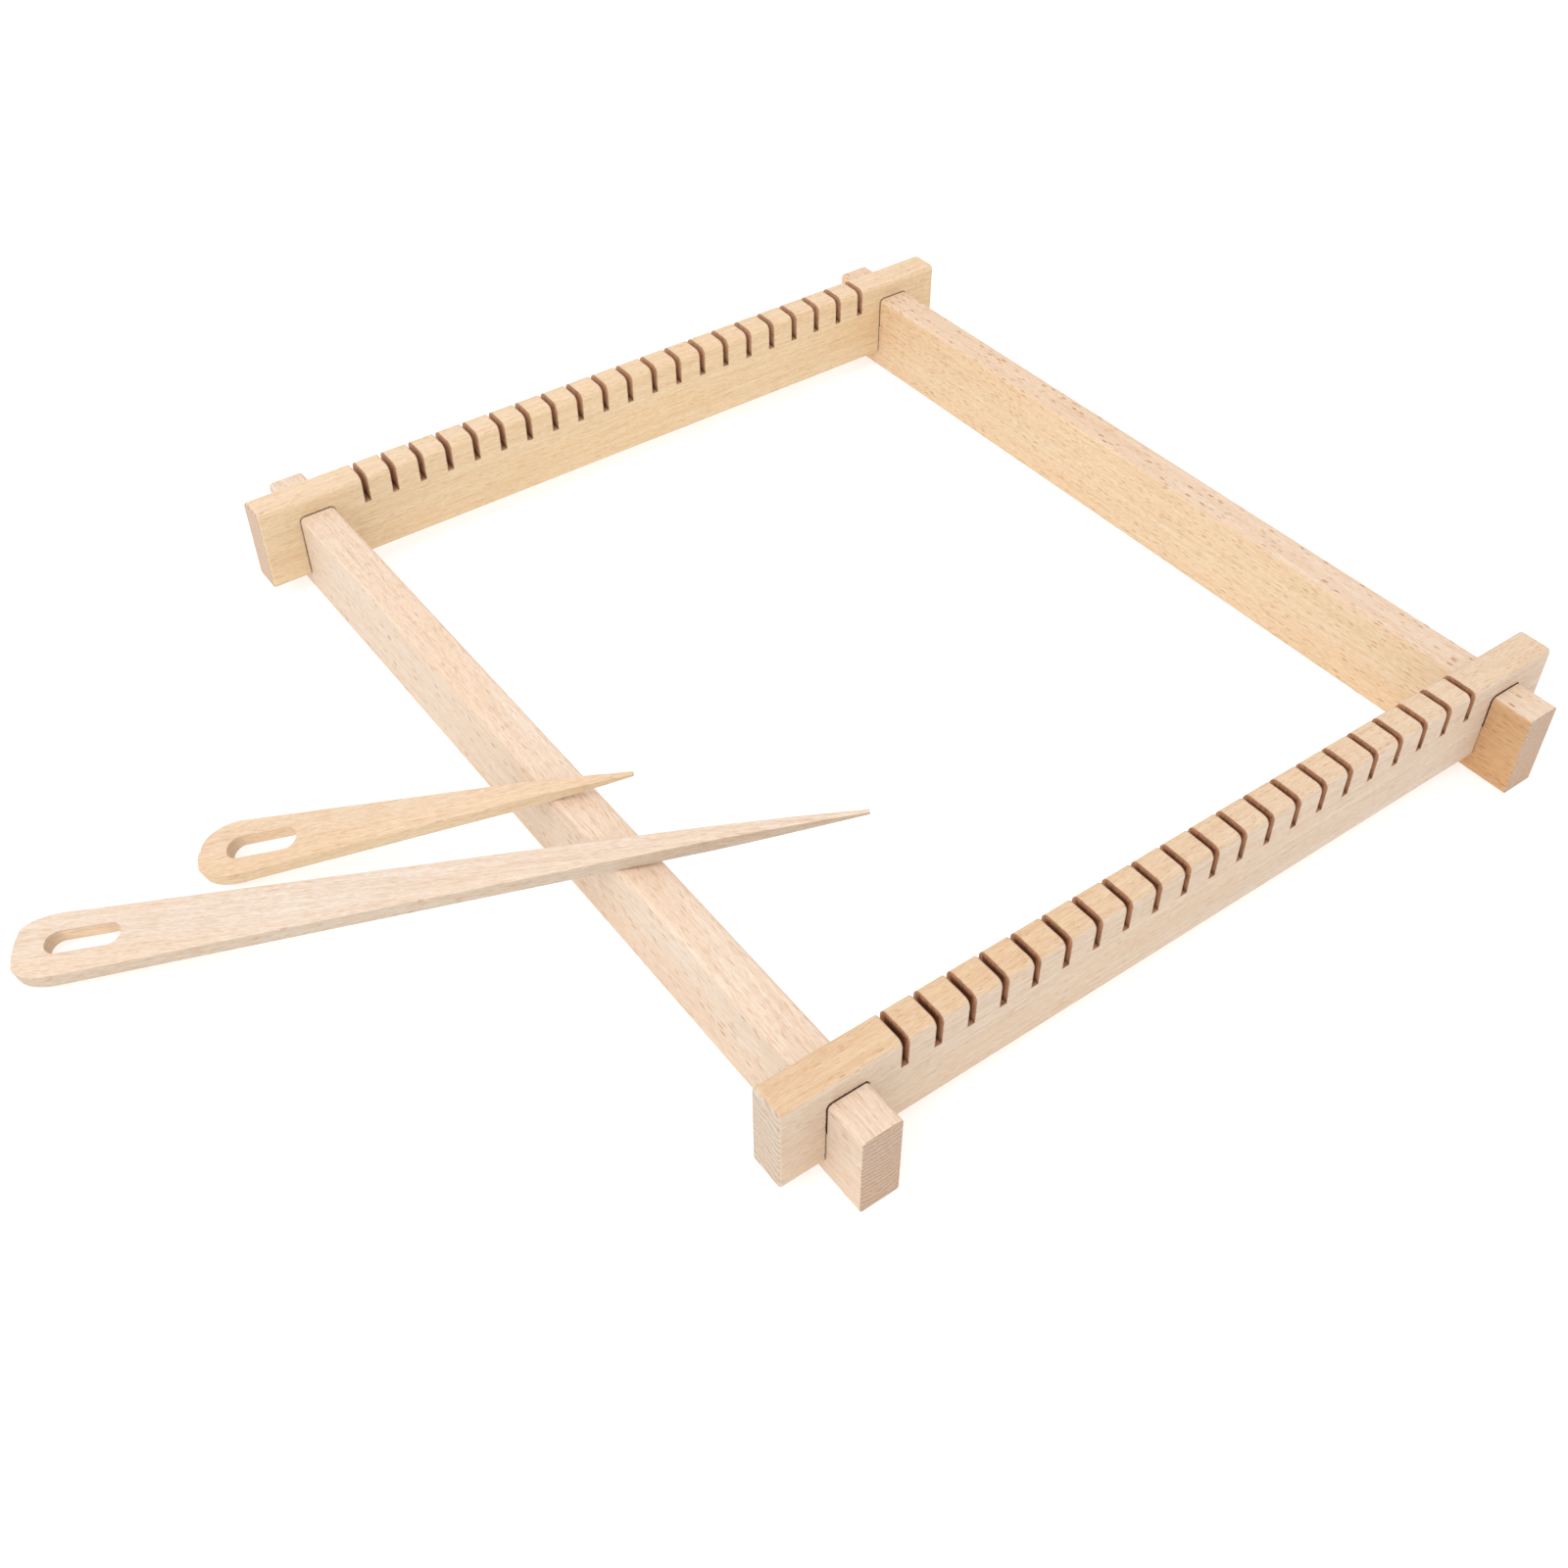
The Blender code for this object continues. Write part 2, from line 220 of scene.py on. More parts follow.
class NodeSheet:
    """Short ways to add and wire nodes in one material."""

    def __init__(self, name):
        self.material = bpy.data.materials.new(name)
        self.material.use_nodes = True
        self.tree = self.material.node_tree
        self.shader = self.tree.nodes["Principled BSDF"]

    def node(self, kind, settings=None, **inputs):
        """Add a node; inputs are sockets by name, as a value or as another's output."""
        made = self.tree.nodes.new(kind)
        for key, value in (settings or {}).items():
            setattr(made, key, value)
        for key, value in inputs.items():
            self.feed(made.inputs[key.replace("_", " ")], value)
        return made

    def feed(self, socket, value):
        """Give a socket a value or a link."""
        if isinstance(value, bpy.types.NodeSocket):
            self.tree.links.new(value, socket)
        else:
            socket.default_value = value

    def maths(self, operation, first, second=0.0, third=0.0):
        """Work out one sum, product or the like."""
        made = self.tree.nodes.new("ShaderNodeMath")
        made.operation = operation
        for socket, value in zip(made.inputs, (first, second, third)):
            self.feed(socket, value)
        return made.outputs[0]

    def stretch(self, vector, scale):
        """Multiply a place by a scale for each axis."""
        made = self.tree.nodes.new("ShaderNodeVectorMath")
        made.operation = "MULTIPLY"
        self.feed(made.inputs[0], vector)
        made.inputs[1].default_value = scale
        return made.outputs[0]

    def noise(self, vector, detail=2.0, roughness=0.5):
        """Smooth noise between 0 and 1; the vector already carries the scale."""
        made = self.node("ShaderNodeTexNoise", Vector=vector, Scale=1.0, Detail=detail,
                         Roughness=roughness)
        return made.outputs[0]

    def span(self, value, low, high, to_low=0.0, to_high=1.0, smooth=True):
        """Map a range of a value onto another range, with soft ends."""
        settings = {"interpolation_type": "SMOOTHSTEP" if smooth else "LINEAR"}
        made = self.node("ShaderNodeMapRange", settings, Value=value)
        for socket, number in zip(made.inputs[1:5], (low, high, to_low, to_high)):
            socket.default_value = number
        return made.outputs[0]

    def blend(self, amount, first, second, mode="MIX"):
        """Mix two colours."""
        made = self.tree.nodes.new("ShaderNodeMix")
        made.data_type = "RGBA"
        made.blend_type = mode
        self.feed(made.inputs[0], amount)
        for socket, value in ((made.inputs[6], first), (made.inputs[7], second)):
            self.feed(socket, value)
        return made.outputs[2]

    def tint(self, amount, base, factors):
        """Multiply a colour by three factors, as far as the amount says."""
        return self.blend(amount, base, (*factors, 1.0), "MULTIPLY")


def rgba(colour, factor=1.0):
    return (*(part * factor for part in colour), 1.0)


def board_place(along, origin, turn=0.0, slant=0.0):
    """Turn the row frame into a board's own: +X along its grain, +Z up.

    turn rolls the growth rings about the grain; slant runs the grain a little across.
    """
    along = Vector(along)
    up = Vector((0.0, 0.0, 1.0))
    axes = Matrix((along, up.cross(along), up)).to_4x4()
    skew = Matrix.Rotation(turn, 4, "X") @ Matrix.Rotation(slant, 4, "Z")
    return skew @ axes @ Matrix.Translation(-Vector(origin))


def mapped(sheet, source, place, kind="POINT"):
    """Carry a vector through a board's placing matrix with one Mapping node."""
    made = sheet.node("ShaderNodeMapping", {"vector_type": kind}, Vector=source)
    made.inputs["Rotation"].default_value = place.to_euler("XYZ")
    if kind == "POINT":
        made.inputs["Location"].default_value = place.to_translation()
    return made.outputs[0]


def beech(name, tones, place, pith=(0.03, -0.05), ring_width=2.2 * MM, figure=0.45,
          fleck_length=3.6 * MM, fleck_width=0.75 * MM, fleck_amount=0.5, fleck_depth=0.5,
          side_flecks=1.0, grit_depth=1.0):
    """Bare beech, cut out of one solid pattern so that grain carries round every edge."""
    look = colours()
    sheet = NodeSheet(name)
    coordinates = sheet.node("ShaderNodeTexCoord")
    spot = mapped(sheet, coordinates.outputs["Object"], place)
    facing = mapped(sheet, coordinates.outputs["Normal"], place, "NORMAL")
    facing_parts = sheet.node("ShaderNodeSeparateXYZ", Vector=facing)
    own_facing = sheet.node("ShaderNodeSeparateXYZ", Vector=coordinates.outputs["Normal"])
    end_on = sheet.span(sheet.maths("ABSOLUTE", facing_parts.outputs[0]), 0.55, 0.85)

    # growth rings round a pith that lies beside the board
    sway = sheet.noise(sheet.stretch(spot, (8, 75, 75)), 3.0, 0.55)
    centred = sheet.node("ShaderNodeVectorMath", {"operation": "ADD"})
    sheet.feed(centred.inputs[0], sheet.stretch(spot, (0, 1, 1)))
    centred.inputs[1].default_value = (0.0, *pith)
    distance = sheet.node("ShaderNodeVectorMath", {"operation": "LENGTH"})
    sheet.feed(distance.inputs[0], centred.outputs[0])
    ring = sheet.maths("MULTIPLY_ADD", distance.outputs["Value"], 1 / ring_width,
                       sheet.maths("MULTIPLY", sway, 4.0))
    late = sheet.span(sheet.maths("FRACT", ring), 0.15, 0.93)
    late = sheet.maths("MULTIPLY", late, sheet.span(sheet.maths("FRACT", ring), 1.0, 0.93))

    # long streaks, broad drifts of tone and hair-fine pores
    streak = sheet.noise(sheet.stretch(spot, (24, 900, 900)), 3.0, 0.6)
    dash = sheet.noise(sheet.stretch(spot, (170, 1900, 1900)), 2.0, 0.55)
    drift = sheet.noise(sheet.stretch(spot, (7, 45, 45)), 2.0, 0.5)
    pores = sheet.noise(sheet.stretch(spot, (420, 4200, 4200)), 2.0, 0.6)
    pores = sheet.span(pores, 0.60, 0.78)
    grit = sheet.noise(sheet.stretch(spot, (480, 2600, 2600)), 2.0, 0.6)

    # ray flecks: thin across the grain, short along it, deep towards the pith
    bend = sheet.node("ShaderNodeTexNoise", Vector=sheet.stretch(spot, (90, 160, 90)), Scale=1.0,
                      Detail=1.0)
    bend_offset = sheet.node("ShaderNodeVectorMath", {"operation": "MULTIPLY_ADD"})
    sheet.feed(bend_offset.inputs[0], bend.outputs["Color"])
    bend_offset.inputs[1].default_value = (0.0, 0.7 * MM, 0.7 * MM)
    sheet.feed(bend_offset.inputs[2], spot)
    cells = sheet.node(
        "ShaderNodeTexVoronoi", Scale=1.0,
        Vector=sheet.stretch(bend_offset.outputs[0],
                             (1 / fleck_length, 1 / fleck_width, 1 / (6 * MM))))
    draw = sheet.node("ShaderNodeSeparateColor", Color=cells.outputs["Color"])
    fleck = sheet.span(cells.outputs["Distance"], 0.34, 0.16)
    crowd = sheet.maths("MULTIPLY_ADD", drift, 0.9, sheet.maths("SUBTRACT", draw.outputs[0], 0.45))
    fleck = sheet.maths("MULTIPLY", fleck,
                        sheet.span(crowd, 1.0 - fleck_amount, 1.1 - fleck_amount))
    fleck = sheet.maths("MULTIPLY", fleck, sheet.span(draw.outputs[1], 0.0, 1.0, 0.35, 1.0))

    lying = sheet.span(sheet.maths("ABSOLUTE", own_facing.outputs[2]), 0.35, 0.85)
    shown = sheet.maths("MULTIPLY", sheet.span(lying, 0.0, 1.0, side_flecks, 1.0, smooth=False),
                        sheet.maths("SUBTRACT", 1.0, end_on))
    fleck = sheet.maths("MULTIPLY", fleck, shown)

    # colour
    face_tone, side_grain_and_shade_tone, end_tone = tones
    # Upright faces take the side tone, which on the rails and bars holds painted shade as well as
    # the grain's own difference between faces.
    base = sheet.blend(lying, rgba(side_grain_and_shade_tone), rgba(face_tone))
    base = sheet.blend(end_on, base, rgba(end_tone))
    ring_depth = sheet.span(end_on, 0.0, 1.0, 0.16 * figure, 0.8, smooth=False)
    base = sheet.tint(sheet.maths("MULTIPLY", late, ring_depth), base, (0.80, 0.62, 0.46))
    base = sheet.tint(sheet.span(streak, 0.25, 0.75), base, (0.93, 0.87, 0.81))
    dashed = sheet.maths("MULTIPLY", sheet.span(dash, 0.5, 0.72), 0.8)
    base = sheet.tint(dashed, base, (0.90, 0.81, 0.73))
    base = sheet.tint(sheet.span(drift, 0.3, 0.7), base, (1.02, 0.965, 0.90))
    gritty = sheet.maths("MULTIPLY", sheet.span(grit, 0.36, 0.66), grit_depth)
    base = sheet.tint(gritty, base, (0.93, 0.885, 0.84))
    base = sheet.blend(sheet.maths("MULTIPLY", pores, 0.22), base, rgba(look.fleck))
    base = sheet.blend(sheet.maths("MULTIPLY", fleck, fleck_depth), base, rgba(look.fleck))

    # surface
    rough = sheet.maths("MULTIPLY_ADD", streak, 0.16, 0.50)
    rough = sheet.maths("MULTIPLY_ADD", fleck, -0.10, rough)
    sheet.feed(sheet.shader.inputs["Roughness"], rough)
    height = sheet.maths("MULTIPLY_ADD", streak, 0.5, sheet.maths("MULTIPLY", pores, -0.5))
    height = sheet.maths("MULTIPLY_ADD", dash, -0.3, height)
    height = sheet.maths("MULTIPLY_ADD", fleck, -0.25, height)
    bump = sheet.node("ShaderNodeBump", Height=height, Strength=0.35, Distance=0.08 * MM)
    sheet.feed(sheet.shader.inputs["Normal"], bump.outputs[0])
    sheet.shader.inputs["IOR"].default_value = 1.46
    sheet.shader.inputs["Specular IOR Level"].default_value = SHEEN
    sheet.base = base
    sheet.feed(sheet.shader.inputs["Base Color"], base)
    sheet.object_spot = coordinates.outputs["Object"]
    sheet.facing = own_facing
    return sheet


def slot_burn(sheet, parts, bar):
    """How burnt the wood is by the mouths of the warp slots: a thin ragged line."""
    measures = sizes()
    first_slot = first_slot_place(bar)
    last_slot = first_slot + (measures.slot_count - 1) * measures.slot_pitch
    ragged = sheet.noise(sheet.stretch(sheet.object_spot, (2500, 900, 900)), 2.0, 0.6)
    along = sheet.maths("SUBTRACT", parts.outputs[0], first_slot)
    nearest = sheet.maths("PINGPONG", along, measures.slot_pitch / 2)
    edge = sheet.maths("SUBTRACT", nearest, measures.slot_width / 2)
    slot_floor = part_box(bar)[1].z - measures.slot_depth
    below = sheet.maths("MAXIMUM", sheet.maths("SUBTRACT", slot_floor, parts.outputs[2]), 0.0)
    reach = sheet.maths("ADD", sheet.maths("MAXIMUM", edge, 0.0), below)
    reach = sheet.maths("MULTIPLY_ADD", ragged, -0.5 * MM, reach)
    inside = sheet.maths("MULTIPLY",
                         sheet.span(parts.outputs[0], first_slot - 2 * MM, first_slot - 1 * MM),
                         sheet.span(parts.outputs[0], last_slot + 2 * MM, last_slot + 1 * MM))
    return sheet.maths("MULTIPLY", sheet.span(reach, 0.12 * MM, -0.22 * MM), inside)


def joint_burn_and_gap_shade(sheet, parts):
    """How dark a bar's face is along the outline of each rail that it lies across: char together
    with painted shadow of the joint's gap.
    """
    low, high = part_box("left_rail")
    radius = sizes().rail_edge
    half_spread = FRAME_MIDDLE - (low.x + high.x) / 2
    half_width = (high.x - low.x) / 2
    ragged = sheet.noise(sheet.stretch(sheet.object_spot, (1300, 200, 1300)), 2.0, 0.6)
    from_middle = sheet.maths("ABSOLUTE", sheet.maths("SUBTRACT", parts.outputs[0], FRAME_MIDDLE))
    sideways = sheet.maths("ABSOLUTE", sheet.maths("SUBTRACT", from_middle, half_spread))
    over_side = sheet.maths("SUBTRACT", sideways, half_width - radius)
    over_top = sheet.maths("SUBTRACT", parts.outputs[2], high.z - radius)
    corner = sheet.node("ShaderNodeCombineXYZ", X=sheet.maths("MAXIMUM", over_side, 0.0),
                        Y=sheet.maths("MAXIMUM", over_top, 0.0))
    outer = sheet.node("ShaderNodeVectorMath", {"operation": "LENGTH"})
    sheet.feed(outer.inputs[0], corner.outputs[0])
    inner = sheet.maths("MINIMUM", sheet.maths("MAXIMUM", over_side, over_top), 0.0)
    gap = sheet.maths("ADD", outer.outputs["Value"], sheet.maths("ADD", inner, -radius))
    gap = sheet.maths("MULTIPLY_ADD", ragged, -0.7 * MM, sheet.maths("ABSOLUTE", gap))
    return sheet.maths("MULTIPLY", sheet.span(gap, 0.08 * MM, -0.12 * MM),
                       sheet.span(sheet.maths("ABSOLUTE", sheet.facing.outputs[1]), 0.8, 0.95))


def add_burns_and_joint_shade(sheet, bar, joint_burn_and_shade_depth):
    """Brown a bar round its warp slots, and darken it along its joints with the rails with char and
    painted shadow of the gap.
    """
    look = colours()
    parts = sheet.node("ShaderNodeSeparateXYZ", Vector=sheet.object_spot)
    slots = sheet.maths("MULTIPLY", slot_burn(sheet, parts, bar), 0.7)
    browned = sheet.blend(slots, sheet.base, rgba(look.scorch, 0.5))
    # Painted shadow: the joint band stands for the dark gap between rail and bar as well as its
    # char.
    joints = sheet.maths("MULTIPLY", joint_burn_and_gap_shade(sheet, parts), joint_burn_and_shade_depth)
    browned = sheet.blend(joints, browned, rgba(look.char))
    sheet.feed(sheet.shader.inputs["Base Color"], browned)
    sheet.feed(sheet.shader.inputs["Specular IOR Level"],
               sheet.maths("MULTIPLY_ADD", joints, -SHEEN, SHEEN))


def pale_end(sheet):
    """Let the near bar grow paler and pinker towards its right end."""
    low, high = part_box("near_bar")
    parts = sheet.node("ShaderNodeSeparateXYZ", Vector=sheet.object_spot)
    along = sheet.span(parts.outputs[0], low.x, high.x)
    lying = sheet.span(sheet.facing.outputs[2], 0.35, 0.85)
    amount = sheet.maths("MULTIPLY", along, sheet.span(lying, 0.0, 1.0, 0.35, 1.0, smooth=False))
    sheet.base = sheet.tint(amount, sheet.base, (1.02, 1.12, 1.30))


def shade_right_stub_sides(sheet):
    """Paint browner shade on the sides of the right rail where it stands out past the near bar."""
    parts = sheet.node("ShaderNodeSeparateXYZ", Vector=sheet.object_spot)
    low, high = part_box("near_bar")
    stub = sheet.span(parts.outputs[1], high.y, low.y)
    side = sheet.span(sheet.maths("ABSOLUTE", sheet.facing.outputs[0]), 0.4, 0.8)
    # Painted shade: the stub's sides are tinted darker and browner, as if shaded by the near bar.
    browned = sheet.tint(sheet.maths("MULTIPLY", stub, side), sheet.base, (0.80, 0.64, 0.50))
    sheet.feed(sheet.shader.inputs["Base Color"], browned)


def scorched_wood(name, tone, bar=None, inner_shade_depth=0.8):
    """Sawn walls browned by the cutter; those of a bar's slots get painted shade further in and
    towards the slot floor.
    """
    look = colours()
    sheet = NodeSheet(name)
    coordinates = sheet.node("ShaderNodeTexCoord")
    spot = coordinates.outputs["Object"]
    streak = sheet.noise(sheet.stretch(spot, (800, 2600, 260)), 3.0, 0.65)
    blot = sheet.noise(sheet.stretch(spot, (300, 500, 400)), 2.0, 0.5)
    base = sheet.blend(sheet.span(streak, 0.3, 0.75), rgba(tone, 1.25), rgba(tone, 0.8))
    base = sheet.blend(sheet.span(blot, 0.55, 0.75, 0.0, 0.5), base, rgba(tone, 0.4))
    if bar is not None:
        low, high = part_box(bar)
        parts = sheet.node("ShaderNodeSeparateXYZ", Vector=spot)
        from_front = sheet.maths("SUBTRACT", parts.outputs[1], low.y)
        from_back = sheet.maths("SUBTRACT", high.y, parts.outputs[1])
        from_top = sheet.maths("SUBTRACT", high.z, parts.outputs[2])
        inward = sheet.maths("MINIMUM", sheet.maths("MINIMUM", from_front, from_back), from_top)
        inward = sheet.maths("MULTIPLY_ADD", streak, 0.8 * MM, inward)
        # Painted shade: the slot walls darken towards char away from the slot's mouths.
        base = sheet.blend(sheet.span(inward, 0.9 * MM, 2.6 * MM, 0.0, inner_shade_depth),
                           base, rgba(look.char))
        wall = sheet.node("ShaderNodeSeparateXYZ", Vector=coordinates.outputs["Normal"])
        upright = sheet.span(wall.outputs[2], 0.8, 0.2)
        # Painted shade: upright walls grow darker towards the slot floor.
        slot_floor_shade = sheet.span(from_top, sizes().slot_depth - 2.5 * MM, sizes().slot_depth, 0.0, 0.75)
        base = sheet.blend(sheet.maths("MULTIPLY", slot_floor_shade, upright), base, rgba(tone, 0.3))
    sheet.feed(sheet.shader.inputs["Base Color"], base)
    sheet.feed(sheet.shader.inputs["Roughness"], sheet.span(streak, 0.2, 0.8, 0.6, 0.85))
    bump = sheet.node("ShaderNodeBump", Height=streak, Strength=0.5, Distance=0.1 * MM)
    sheet.feed(sheet.shader.inputs["Normal"], bump.outputs[0])
    sheet.shader.inputs["Specular IOR Level"].default_value = SCORCHED_SHEEN
    return sheet.material


def eye_wood(name, tone, place):
    """Walls of a needle's eye, browner at the end by the needle's blunt end."""
    measures = needle_sizes()
    sheet = NodeSheet(name)
    coordinates = sheet.node("ShaderNodeTexCoord")
    spot = mapped(sheet, coordinates.outputs["Object"], place)
    parts = sheet.node("ShaderNodeSeparateXYZ", Vector=spot)
    streak = sheet.noise(sheet.stretch(spot, (260, 900, 1800)), 3.0, 0.6)
    # The tone carries painted light: it is lifted to brighten walls that sit in the eye's shade.
    base = sheet.blend(sheet.span(streak, 0.3, 0.7), rgba(tone, 1.08), rgba(tone, 0.86))
    start = measures.eye_setback
    blunt = sheet.span(parts.outputs[0], start + 5 * MM, start, 0.0, 0.75)
    base = sheet.blend(blunt, base, rgba(tone, 0.6))
    sheet.feed(sheet.shader.inputs["Base Color"], base)
    sheet.feed(sheet.shader.inputs["Roughness"], sheet.span(streak, 0.2, 0.8, 0.5, 0.75))
    bump = sheet.node("ShaderNodeBump", Height=streak, Strength=0.4, Distance=0.08 * MM)
    sheet.feed(sheet.shader.inputs["Normal"], bump.outputs[0])
    return sheet.material


# ------------------------------------------------------------------ meshes


def finished_piece(name, mesh_data, materials, body):
    """Turn a bmesh into a piece that stands for its CAD node and rides on its body."""
    bmesh.ops.recalc_face_normals(mesh_data, faces=mesh_data.faces)
    for face in mesh_data.faces:
        face.smooth = True
    mesh = bpy.data.meshes.new(name + "_wood")
    mesh_data.to_mesh(mesh)
    mesh_data.free()
    for material in materials:
        mesh.materials.append(material)
    piece = bpy.data.objects.new(name + "_wood", mesh)
    bpy.context.scene.collection.objects.link(piece)
    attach(piece, body)
    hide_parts(name)
    return piece


def profile_solid(points, axis, start, end):
    """A closed solid: an outline drawn across one axis and extruded along it."""
    mesh_data = bmesh.new()
    corners = []
    for first, second in points:
        place = [first, second]
        place.insert(axis, start)
        corners.append(mesh_data.verts.new(place))
    face = mesh_data.faces.new(corners)
    grown = bmesh.ops.extrude_face_region(mesh_data, geom=[face])["geom"]
    moved = [item for item in grown if isinstance(item, bmesh.types.BMVert)]
    shift = Vector()
    shift[axis] = end - start
    bmesh.ops.translate(mesh_data, verts=moved, vec=shift)
    return mesh_data


def weigh_edges(mesh_data, weight_of):
    """Give each edge its share of the bevel; the edges that get none stay crisp."""
    weights = mesh_data.edges.layers.float.new("bevel_weight_edge")
    for edge in mesh_data.edges:
        start, end = (corner.co for corner in edge.verts)
        line = end - start
        axis = max(range(3), key=lambda index: abs(line[index]))
        edge[weights] = weight_of((start + end) / 2, axis)
        edge.smooth = edge[weights] > 0


def round_edges(piece, radius):
    """Round the weighted edges and keep the flat faces flat."""
    bevel = piece.modifiers.new("rounded edges", "BEVEL")
    bevel.width = radius
    bevel.segments = EDGE_STEPS
    bevel.limit_method = "WEIGHT"
    bevel.use_clamp_overlap = True
    shading = piece.modifiers.new("even shading", "WEIGHTED_NORMAL")
    shading.keep_sharp = True


def near(first, second):
    return abs(first - second) < CLOSE


def first_slot_place(bar):
    """Place along X of the middle of a bar's first warp slot."""
    measures = sizes()
    half_row = (measures.slot_count - 1) / 2 * measures.slot_pitch
    shift = measures.far_shift if bar == "far_bar" else 0.0
    return FRAME_MIDDLE + shift - half_row


def rail_outline(low, high):
    """A rail's side view, as (y, z) corners, with a notch from above for each bar."""
    gap = sizes().lap_gap
    points = [(low.y, low.z), (high.y, low.z), (high.y, high.z)]
    for bar in reversed(BARS):
        bar_low, bar_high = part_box(bar)
        right = bar_high.y + gap
        left = bar_low.y - gap
        points += [(right, high.z), (right, LAP_LEVEL), (left, LAP_LEVEL), (left, high.z)]
    points.append((low.y, high.z))
    return points


def bar_outline(name, low, high):
    """A bar's front view, as (x, z) corners, notched from below and slotted from above."""
    measures = sizes()
    gap = measures.lap_gap
    points = [(low.x, low.z)]
    for rail in RAILS:
        rail_low, rail_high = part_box(rail)
        left = rail_low.x - gap
        right = rail_high.x + gap
        ceiling = LAP_LEVEL + gap
        points += [(left, low.z), (left, ceiling), (right, ceiling), (right, low.z)]
    points += [(high.x, low.z), (high.x, high.z)]
    floor_z = high.z - measures.slot_depth
    for number in reversed(range(measures.slot_count)):
        middle = first_slot_place(name) + number * measures.slot_pitch
        left = middle - measures.slot_width / 2
        right = middle + measures.slot_width / 2
        points += [(right, high.z), (right, floor_z), (left, floor_z), (left, high.z)]
    points.append((low.x, high.z))
    return points


def make_rail(name, wood, burnt):
    """One rail with its two notches."""
    low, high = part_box(name)
    mesh_data = profile_solid(rail_outline(low, high), 0, low.x, high.x)

    def weight_of(middle, axis):
        outside = near(middle.z, low.z) or near(middle.z, high.z)
        at_end = near(middle.y, low.y) or near(middle.y, high.y)
        if axis == 1 and outside:
            return 1.0
        return RAIL_END_SHARE if at_end else 0.0

    weigh_edges(mesh_data, weight_of)
    for face in mesh_data.faces:
        middle = face.calc_center_median()
        face.material_index = int(low.x + CLOSE < middle.x < high.x - CLOSE
                                  and low.y + CLOSE < middle.y < high.y - CLOSE
                                  and LAP_LEVEL - CLOSE < middle.z < high.z - CLOSE)
    piece = finished_piece(name, mesh_data, [wood, burnt], "rails")
    round_edges(piece, sizes().rail_edge)
    return piece


def make_bar(name, wood, scorched, burnt):
    """One bar with its warp slots and its two notches."""
    low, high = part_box(name)
    mesh_data = profile_solid(bar_outline(name, low, high), 1, low.y, high.y)
    floor_z = high.z - sizes().slot_depth
    widest = sizes().far_edge

    def weight_of(middle, axis):
        at_end = near(middle.x, low.x) or near(middle.x, high.x)
        radius = 0.0
        if axis == 0 and near(middle.z, high.z):
            outer = name == "far_bar" and near(middle.y, high.y)
            radius = widest if outer else sizes().bar_edge
        elif axis == 0 and near(middle.z, low.z):
            radius = BAR_FOOT_EDGE
        elif axis == 1 and at_end:
            radius = BAR_END_TOP_EDGE if near(middle.z, high.z) else BAR_END_FOOT_EDGE
        elif axis == 2 and at_end:
            radius = BAR_END_UPRIGHT_EDGE
        return radius / widest

    weigh_edges(mesh_data, weight_of)
    for face in mesh_data.faces:
        middle = face.calc_center_median()
        between_faces = low.y + CLOSE < middle.y < high.y - CLOSE
        in_slot = floor_z - CLOSE < middle.z < high.z - CLOSE
        in_notch = low.z + CLOSE < middle.z < LAP_LEVEL + MM
        at_end = near(middle.x, low.x) or near(middle.x, high.x)
        if between_faces and not at_end:
            face.material_index = 1 if in_slot else 2 if in_notch else 0
    piece = finished_piece(name, mesh_data, [wood, scorched, burnt], name)
    round_edges(piece, widest)
    return piece


def smooth_loop(stretches):
    """Points along closed Bezier stretches, each (start, handle, handle, end)."""
    points = []
    for stretch in stretches:
        start, first_handle, second_handle, end = (Vector((*place, 0.0)) for place in stretch)
        straight = (first_handle - start).length < CLOSE and (second_handle - end).length < CLOSE
        steps = 2 if straight else CURVE_STEPS + 1
        points += interpolate_bezier(start, first_handle, second_handle, end, steps)[:-1]
    return points


def needle_outline(length, width, spec):
    """A needle's outline: blunt round eye end at x = 0, straight taper to the tip."""
    measures = needle_sizes()
    shoulder = measures.shoulder
    half = width / 2
    tip = measures.tip_width / 2
    stretches = []
    sides = []
    for side, radius in zip((1, -1), spec["corner_radii"]):
        top = (shoulder, side * half)
        top_handle = (shoulder * (1 - BEZIER_ARC), side * half)
        corner = (measures.end_bow, side * (half - radius))
        corner_handle = (measures.end_bow * BEZIER_ARC, side * (half - radius * (1 - BEZIER_ARC)))
        middle_handle = (0.0, side * (half - radius) * BEZIER_ARC)
        sides.append((top, top_handle, corner_handle, corner, middle_handle))
    plus, minus = sides
    stretches.append(((length, tip), (length, tip), plus[0], plus[0]))
    stretches.append((plus[0], plus[1], plus[2], plus[3]))
    stretches.append((plus[3], plus[4], minus[4], minus[3]))
    stretches.append((minus[3], minus[2], minus[1], minus[0]))
    stretches.append((minus[0], minus[0], (length, -tip), (length, -tip)))
    stretches.append(((length, -tip), (length, -tip), (length, tip), (length, tip)))
    return smooth_loop(stretches)


def eye_outline(spec):
    """The eye: a slot with round ends."""
    measures = needle_sizes()
    radius = measures.eye_width / 2
    reach = radius * BEZIER_ARC
    shift = spec["eye_shift"]
    near_end = measures.eye_setback
    far_end = near_end + measures.eye_length
    stretches = []
    for end_x, inward in ((near_end, 1), (far_end, -1)):
        middle_x = end_x + inward * radius
        low = (middle_x, shift - inward * radius)
        high = (middle_x, shift + inward * radius)
        nose = (end_x, shift)
        stretches.append((low, (middle_x - inward * reach, low[1]),
                          (end_x, shift - inward * reach), nose))
        stretches.append((nose, (end_x, shift + inward * reach),
                          (middle_x - inward * reach, high[1]), high))
        far_x = (far_end if inward > 0 else near_end) - inward * radius
        stretches.append((high, high, (far_x, high[1]), (far_x, high[1])))
    return smooth_loop(stretches)


